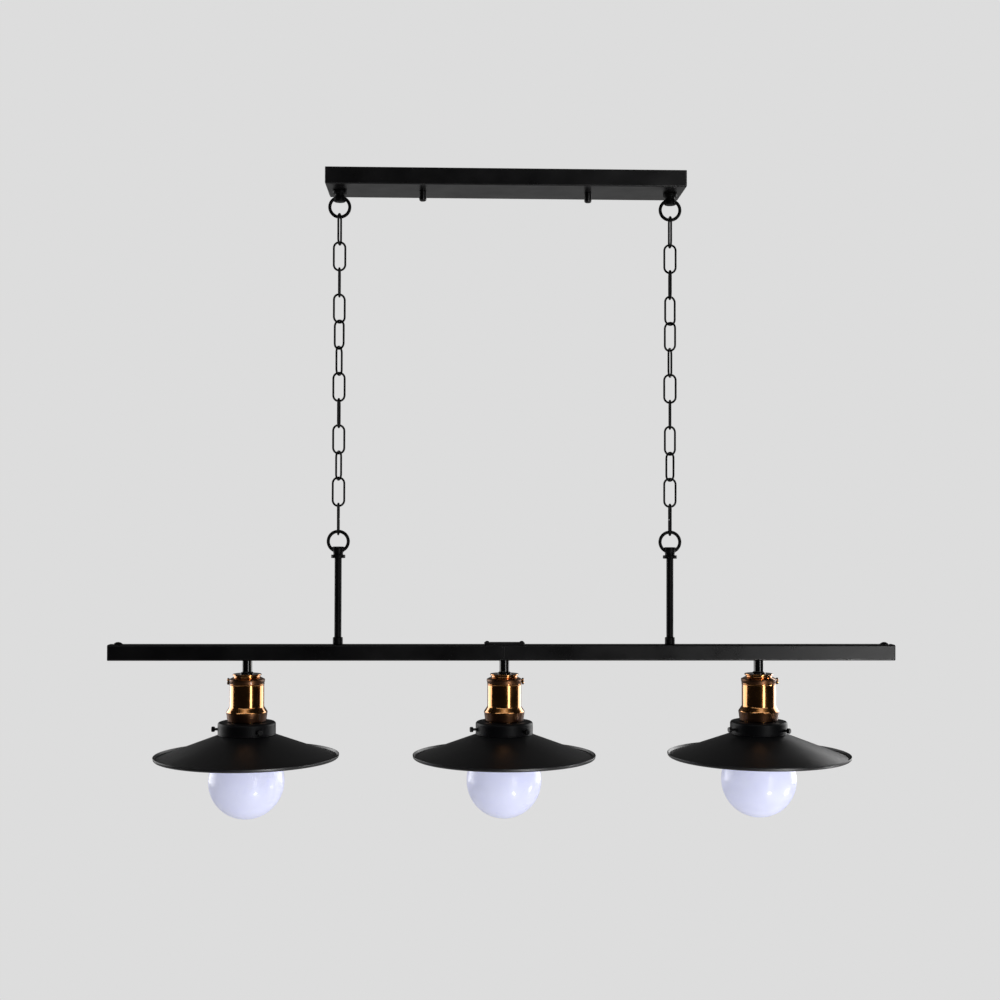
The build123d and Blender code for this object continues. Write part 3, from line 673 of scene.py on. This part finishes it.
def chain_pieces():
    bend = LINK_WIDTH / 2 - WIRE_R
    closed_link = wire(link_path(LINK_INNER, False), True, WIRE_R, CHAIN_PAINT,
                       swell=0.16, swell_length=1.5, swell_point=(bend, 0.0, -LINK_INNER / 2))
    connector = wire(link_path(CONNECTOR_INNER, True), False, WIRE_R, CHAIN_PAINT)
    link = bpy.data.objects.new("link", closed_link)
    bpy.context.collection.objects.link(link)
    tops = bpy.data.meshes.new("tops")
    tops.from_pydata([(0, 0, -RUN_STEP * step) for step in range(len(RUN_YAWS))], [], [])
    yaws = tops.attributes.new("yaw", "FLOAT", "POINT")
    yaws.data.foreach_set("value", [math.radians(yaw) for yaw in RUN_YAWS])
    run = grow(tops, RUN, {"Link": link, "Finish": CHAIN_PAINT})
    bpy.data.objects.remove(link)
    for side, x in (("left", -LOOP_X), ("right", LOOP_X)):
        hung = at(x, 0, RUN_Z)
        piece(f"{side}_link_run", [(run, hung)], f"{side}_chain", "black_paint", f"{side}_chain")
        for end, z, yaw in (("top", TOP_LINK_Z, TOP_LINK_YAWS[side]), ("bottom", BOTTOM_LINK_Z, 90)):
            hung = at(x, 0, z) @ Matrix.Rotation(math.radians(yaw), 4, "Z")
            node = f"{side}_{end}_link"
            piece(f"{node}_wire", [(connector, hung)], node, "black_paint", node)


# ---------------------------------------------------------------- rods and beam


def rod_pieces():
    low = BEAM_TOP_Z + 0.05
    high = ROD_TOP_Z - 0.05
    bar = turned([(0, low), (ROD_R, low, 0.3), (ROD_R, high, 0.3), (0, high)], CAST_PAINT, 48)
    collar = turned([(ROD_R - 0.2, low), (6, low, 0.5), (6, low + 8.6, 0.9), (ROD_R - 0.2, low + 8.6)],
                    CAST_PAINT, 56, closed=True)
    for side, x in (("left", -LOOP_X), ("right", LOOP_X)):
        piece(f"{side}_rod_bar", [(bar, at(x))], "beam", "black_paint", f"{side}_rod")
    parts = [(collar, at(x)) for x in (-LOOP_X, LOOP_X)]
    piece("foot_collars", parts, "beam", "black_paint", "rod_collars")


def domed_screw(radius, dome, slot_width, slot_depth):
    """A domed head standing on the origin, with a driver slot."""
    sphere = (radius ** 2 + dome ** 2) / (2 * dome)
    reach = math.asin(radius / sphere)
    rows = 14
    corners = [(0, -1), (radius - 0.3, -1), (radius - 0.3, 0)]
    for row in range(rows + 1):
        turn = reach * (1 - row / rows)
        corners.append((sphere * math.sin(turn), dome - sphere + sphere * math.cos(turn)))
    head = turned(corners, PAINT, 48)
    return grow(head, SLOT, {
        "Slot Size": (3 * radius, slot_width, 2 * slot_depth),
        "Slot Place": (0.0, 0.0, dome),
        "Finish": PAINT,
    })


def beam_pieces():
    mid = (BEAM_TOP_Z + BEAM_LOW_Z) / 2
    half = BEAM_SIZE / 2
    along = Matrix.Rotation(math.pi / 2, 4, "Y")
    inner = 0.05
    outer = BEAM_HALF - END_CAP_THICK
    levels = (
        (0, inner, 0.25),
        (0, outer, 0.15),
        (BEAM_WALL, outer),
        (BEAM_WALL, inner),
    )
    tube = stacked(half, half, BEAM_EDGE, levels, PAINT, closed=True)
    face = END_CAP_THICK - 0.02
    cap = stacked(half, half, BEAM_EDGE, ((4, 0), (0, 0, 0.1), (0, face, 0.6), (4, face)), PAINT)
    caps = []
    for side, turn in (("left", math.pi), ("right", 0.0)):
        faced = at(0, 0, mid) @ Matrix.Rotation(turn, 4, "Z") @ along
        piece(f"{side}_beam_half", [(tube, faced)], "beam", "black_paint", f"{side}_beam_tube")
        caps.append((cap, faced @ at(0, 0, outer + 0.02)))
    piece("beam_end_caps", caps, "beam", "black_paint", "end_caps")
    end_screw = domed_screw(5.8, 2.8, 1.3, 1.1)
    parts = [(end_screw, at(x, 0, BEAM_TOP_Z + 0.05)) for x in (-END_SCREW_X, END_SCREW_X)]
    piece("domed_end_screws", parts, "beam", "black_paint", "end_screws")
    levels = ((4, 0.05), (0, 0.05), (0, 2.35, 0.5), (4, 2.35))
    plate = stacked(24.25, 9, 1.5, levels, PAINT)
    piece("joint_plate", [(plate, at(0, 0, BEAM_TOP_Z))], "beam", "black_paint", "splice_plate")
    plate_screw = domed_screw(3, 1.9, 0.8, 0.8)
    parts = [(plate_screw, at(x, 0, BEAM_TOP_Z + 2.4)) for x in (-PLATE_SCREW_X, PLATE_SCREW_X)]
    piece("joint_plate_screws", parts, "beam", "black_paint", "splice_screws")


# ---------------------------------------------------------------- lamp heads
# Heights are measured from the beam's underside.


def lamp_shapes():
    """The turned pieces that the three heads share."""
    shapes = {}
    shapes["stem"] = turned([
        (0, -16.05), (8.5, -16.05, 0.2), (8.5, -15.5, 0.4), (6, -13.5, 1.8), (6, -0.05, 0.2), (0, -0.05),
    ], STEM_PAINT, 56)
    shapes["cap"] = turned([
        (4, -16.1), (17.1, -16.1, 0.6), (17.1, -17.6, 0.6), (15.7, -18.4, 0.5), (15.7, -19.6, 1.2),
        (21.3, -22.5, 0.7), (21.2, -24.2, 1), (20.5, -27.6, 0.3), (20.5, -27.9, 0.1), (20.4, -27.9),
        (20.4, -23.6, 0.8), (14.5, -20.8), (14.5, -19.7), (4, -19.7),
    ], COPPER, 96, closed=True)
    shapes["body"] = turned([
        (19.1, -24.5), (20.3, -24.5), (20.3, -27.95), (21, -27.95, 0.4), (20.4, -29.3, 0.5), (20.4, -55, 3),
        (24, -60.4, 1.2), (24.5, -61.3, 0.4), (22.9, -72.6, 0.9), (19.6, -72.6), (19.6, -79.6, 0.5),
        (17.2, -79.6), (17.2, -62.05), (19.1, -62.05),
    ], COPPER, 96, closed=True)
    # The cap's band and the holder's lower ring get the darker copper as painted shade.
    darken_band(shapes["cap"], -27.6, -22.3)
    darken_band(shapes["body"], -72.4, -61.5)
    shapes["gallery"] = turned([
        (19.65, -73.2), (34.4, -73.2, 3), (34.4, -86.7, 0.5), (34.1, -87.1, 0.2), (34.4, -87.5, 0.3),
        (34.4, -88.3, 0.35), (32.8, -88.3), (32.8, -74.8, 1.4), (19.65, -74.8),
    ], GALLERY_PAINT, 96, closed=True)
    shapes["shade"] = shade_mesh()
    shapes["thumbscrew"] = thumbscrew_mesh()
    shapes["cap_screw"] = cap_screw_mesh()
    shapes["globe"] = globe_mesh()
    shapes["bulb_cap"] = joined([
        (threaded(-74.95, -53, 13.1, 3.6, 1.2, NICKEL, 72), at()),
        (turned([(0, -53), (12, -53), (9, -50.2, 0.6), (0, -50.2)], PORCELAIN, 48), at()),
        (turned([(0, -50.2), (4.6, -50.2), (4.6, -47.6, 1.0), (0, -47.6)], BRASS, 40), at()),
    ])
    return shapes


def darken_band(mesh, low, high):
    """Darker, duller copper on the outward faces of a turned copper piece between two heights: painted shade,
    for bands that look dark because they face dark surroundings.
    """
    mesh.materials.append(DARKENED_COPPER)
    for face in mesh.polygons:
        out = Vector((face.center.x, face.center.y, 0))
        if low < face.center.z < high and face.normal.dot(out) > 0:
            face.material_index = 1


def cone_z(radius):
    return -88.4 - 0.374 * (radius - 32.8)


def shade_mesh():
    """The spun shade, charcoal outside and white enamel under the cone."""
    mesh = turned([
        (29.4, -77), (31.9, -77, 0.5), (31.9, -78.6, 0.5), (30.4, -78.6), (30.4, cone_z(30.4), 0.8),
        (107, cone_z(107), 2), (109, cone_z(107) + 3.4), (110, cone_z(107) + 3.4, 0.4),
        (109.4, cone_z(107) - 1.07, 2.6), (105, cone_z(105) - 1.07), (29.4, cone_z(29.4) - 1.07, 1.4),
    ], SHADE_PAINT, 160, closed=True)
    mesh.materials.append(ENAMEL)
    for face in mesh.polygons:
        out = Vector((face.center.x, face.center.y, 0))
        under = face.normal.z < -0.5 and out.length < 107.5
        inside = out.length < 30 and face.normal.dot(out) < 0
        face.material_index = 1 if under or inside else 0
    return mesh


def thumbscrew_mesh():
    """A thumbscrew up the Z axis: a knurled head on a plain shank, its tip at the shade's neck."""
    shank = turned([(0, 30.5), (1.5, 30.5, 0.3), (1.5, 38.6), (0, 38.6)], PAINT, 32)
    rows = 6
    side = [(3.2, 38.8 + 2.6 * row / rows) for row in range(rows + 1)]
    corners = [(0, 37.9), (2.1, 37.9, 0.2), (2.8, 38.3, 0.2), *side, (2.8, 41.9, 0.3), (0, 41.9)]
    head = turned(corners, PAINT, 120, ridges=24.0, ridge_depth=0.4, cut_above_radius=3.0)
    return joined([(shank, at()), (head, at())])


def cap_screw_mesh():
    head = turned([(0, 20.5), (4, 21.3), (4, 23.35, 0.5), (0, 23.35)], COPPER, 48)
    slot = {"Slot Size": (1.0, 12.0, 2.0), "Slot Place": (0.0, 0.0, 23.4), "Finish": COPPER}
    return grow(head, SLOT, slot)


def globe_mesh():
    """The hollow globe, its throat drawn in to the neck."""
    neck_r = 15
    throat = 9
    meet = BULB_Z + math.sqrt((BULB_R + throat) ** 2 - (neck_r + throat) ** 2)
    tangent = math.asin((neck_r + throat) / (BULB_R + throat))
    rows = 72
    outside = []
    for row in range(rows + 1):
        turn = math.pi - (math.pi - tangent) * row / rows
        outside.append((BULB_R * math.sin(turn), BULB_Z + BULB_R * math.cos(turn)))
    for row in range(1, 9):
        turn = tangent + (math.pi / 2 - tangent) * row / 8
        outside.append((neck_r + throat - throat * math.sin(turn), meet - throat * math.cos(turn)))
    outside += [(neck_r, -78), (12.1, -75.1), (0, -75.1)]
    outside[0] = (0, outside[0][1])
    return turned(outside, OPAL, 96)


def lamp_pieces():
    shapes = lamp_shapes()
    cap_screws = []
    for name, (x, screw_angle, thumb_angles) in LAMPS.items():
        place = at(x, 0, BEAM_LOW_Z)
        screw = place @ Matrix.Rotation(math.radians(screw_angle), 4, "Z") @ at(0, 0, CAP_SCREW_Z)
        cap_screws.append((shapes["cap_screw"], screw @ pointing(0)))
        rows = (
            ("stem_tube", "stem", "stem", "black_paint"),
            ("spun_cap", "cap", "holder_cap", "copper"),
            ("spun_body", "body", "holder_body", "copper"),
            ("gallery_cup", "gallery", "gallery", "black_paint"),
            ("spun_shade", "shade", "shade", "black_paint"),
        )
        for title, shape, node, slot in rows:
            piece(f"{name}_{title}", [(shapes[shape], place)], "beam", slot, f"{name}_{node}")
        for number, angle in enumerate(thumb_angles, start=1):
            node = f"{name}_thumbscrew_{number}"
            turn = place @ at(0, 0, THUMB_Z) @ pointing(angle)
            piece(f"{node}_knurled", [(shapes["thumbscrew"], turn)], node, "black_paint", node)
        body = f"bulb_{name}"
        piece(f"{name}_globe", [(shapes["globe"], place)], body, "opal_glass", f"{name}_bulb_globe")
        bulb_cap = [(shapes["bulb_cap"], place)]
        piece(f"{name}_screw_shell", bulb_cap, body, "bulb_cap_metal", f"{name}_bulb_cap")
    piece("cap_side_screws", cap_screws, "beam", "copper", "cap_screws")


# ---------------------------------------------------------------- nodes that stay as they are


def finish_carried():
    carried = {
        "mounting_strap": ZINC,
        "strap_studs": ZINC,
        "hanger_nuts": ZINC,
        "rod_nuts": ZINC,
        "stem_nuts": ZINC,
        "splice_sleeve": ZINC,
        "socket_cores": PORCELAIN,
        "socket_contacts": BRASS,
    }
    for node, finish in carried.items():
        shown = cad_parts[node]
        shown.data.materials.clear()
        shown.data.materials.append(finish)


# ---------------------------------------------------------------- stage, light and camera
BACKGROUND = 0.723
FLOOR_Z = -2.4


def floor():
    """A pale round floor far below, its rim fading into the background."""
    shape = bmesh.new()
    bmesh.ops.create_circle(shape, cap_ends=True, radius=4.2, segments=96)
    mesh = bpy.data.meshes.new("floor")
    shape.to_mesh(mesh)
    shape.free()
    ground = bpy.data.objects.new("floor", mesh)
    ground.location = (0, 0, FLOOR_Z)
    bpy.context.collection.objects.link(ground)
    finish = bpy.data.materials.new("pale_floor")
    finish.use_nodes = True
    group = finish.node_tree
    shader = group.nodes["Principled BSDF"]
    shader.inputs["Base Color"].default_value = (0.78, 0.78, 0.78, 1)
    shader.inputs["Roughness"].default_value = 0.8
    glow = add(group, "ShaderNodeEmission", (("Color", (1, 1, 1, 1)), ("Strength", BACKGROUND)))
    place = group.nodes.new("ShaderNodeTexCoord").outputs["Object"]
    out = add(group, "ShaderNodeVectorMath", ((0, place),), operation="LENGTH").outputs["Value"]
    seen = group.nodes.new("ShaderNodeLightPath").outputs["Is Camera Ray"]
    rim = maths(group, "MULTIPLY", spread(group, out, 0, 1, 1.2, 3.6), seen)
    blend = ((0, rim), (1, shader.outputs[0]), (2, glow.outputs[0]))
    mixed = add(group, "ShaderNodeMixShader", blend)
    group.links.new(mixed.outputs[0], group.nodes["Material Output"].inputs["Surface"])
    mesh.materials.append(finish)


def surroundings():
    """An even pale background, but what the object reflects is pale low behind it and dark elsewhere."""
    world = bpy.data.worlds.new("studio")
    world.use_nodes = True
    bpy.context.scene.world = world
    group = world.node_tree
    group.nodes.clear()
    way = group.nodes.new("ShaderNodeTexCoord").outputs["Generated"]
    parts = add(group, "ShaderNodeSeparateXYZ", ((0, way),)).outputs
    back = spread(group, parts["Y"], 0, 1, 0.1, 0.8)
    below = spread(group, parts["Z"], 0.25, 0.06, -0.12, 0.03)
    level = maths(group, "ADD", maths(group, "MULTIPLY", back, below), 0.012)
    around = add(group, "ShaderNodeBackground", (("Strength", level),))
    seen = add(group, "ShaderNodeBackground", (("Strength", BACKGROUND),))
    for shader in (around, seen):
        shader.inputs["Color"].default_value = (1, 1, 1, 1)
    ray = group.nodes.new("ShaderNodeLightPath").outputs["Is Camera Ray"]
    mixed = add(group, "ShaderNodeMixShader", ((0, ray), (1, around.outputs[0]), (2, seen.outputs[0])))
    out = group.nodes.new("ShaderNodeOutputWorld")
    group.links.new(mixed.outputs[0], out.inputs["Surface"])


def soft_light(name, place, target, size, power):
    lamp = bpy.data.lights.new(name, "AREA")
    lamp.shape = "RECTANGLE"
    lamp.size, lamp.size_y = size
    lamp.energy = power
    holder = bpy.data.objects.new(name, lamp)
    holder.location = place
    away = Vector(place) - Vector(target)
    holder.rotation_euler = away.to_track_quat("Z", "Y").to_euler()
    holder.visible_camera = False
    bpy.context.collection.objects.link(holder)


def lights():
    middle = (0, 0, -0.6)
    soft_light("key_strip", (1.33, -2.34, -0.3), middle, (0.6, 1.8), 23)
    soft_light("left_behind", (-3.04, 1.76, -0.1), (0, 0, -0.1), (3.0, 2.4), 74)
    soft_light("right_behind", (2.72, 2.16, -0.1), (0, 0, -0.1), (2.6, 2.4), 70)
    soft_light("right_low", (1.2, -0.05, -1.12), middle, (0.2, 0.2), 2)
    soft_light("front_top", (0, -1.1, 0.9), middle, (4.0, 0.35), 9)
    soft_light("spark", (1.19, -2.07, -2.12), middle, (0.3, 0.3), 31)


def camera():
    """The photograph's viewing place and angle."""
    focal = 1460
    yaw, pitch, roll = 0.0324, 0.0187, 0.0025
    view = bpy.data.cameras.new("camera")
    view.sensor_fit = "HORIZONTAL"
    view.sensor_width = 36
    view.lens = focal / 1000 * view.sensor_width
    view.clip_end = 60
    ahead = Vector((math.sin(yaw) * math.cos(pitch), math.cos(yaw) * math.cos(pitch), math.sin(pitch)))
    right = Vector((math.cos(yaw), -math.sin(yaw), 0))
    up = right.cross(ahead)
    leaned = right * math.cos(roll) + up * math.sin(roll)
    up = up * math.cos(roll) - right * math.sin(roll)
    stand = bpy.data.objects.new("camera", view)
    turn = Matrix((leaned, up, -ahead)).transposed().to_4x4()
    stand.matrix_world = at(-0.0628, -1.7595, -0.4257) @ turn
    bpy.context.collection.objects.link(stand)
    bpy.context.scene.camera = stand


bpy.context.scene.view_settings.view_transform = "Standard"
canopy_piece()
cap_nut_pieces()
loop_pieces()
chain_pieces()
rod_pieces()
beam_pieces()
lamp_pieces()
finish_carried()
floor()
surroundings()
lights()
camera()
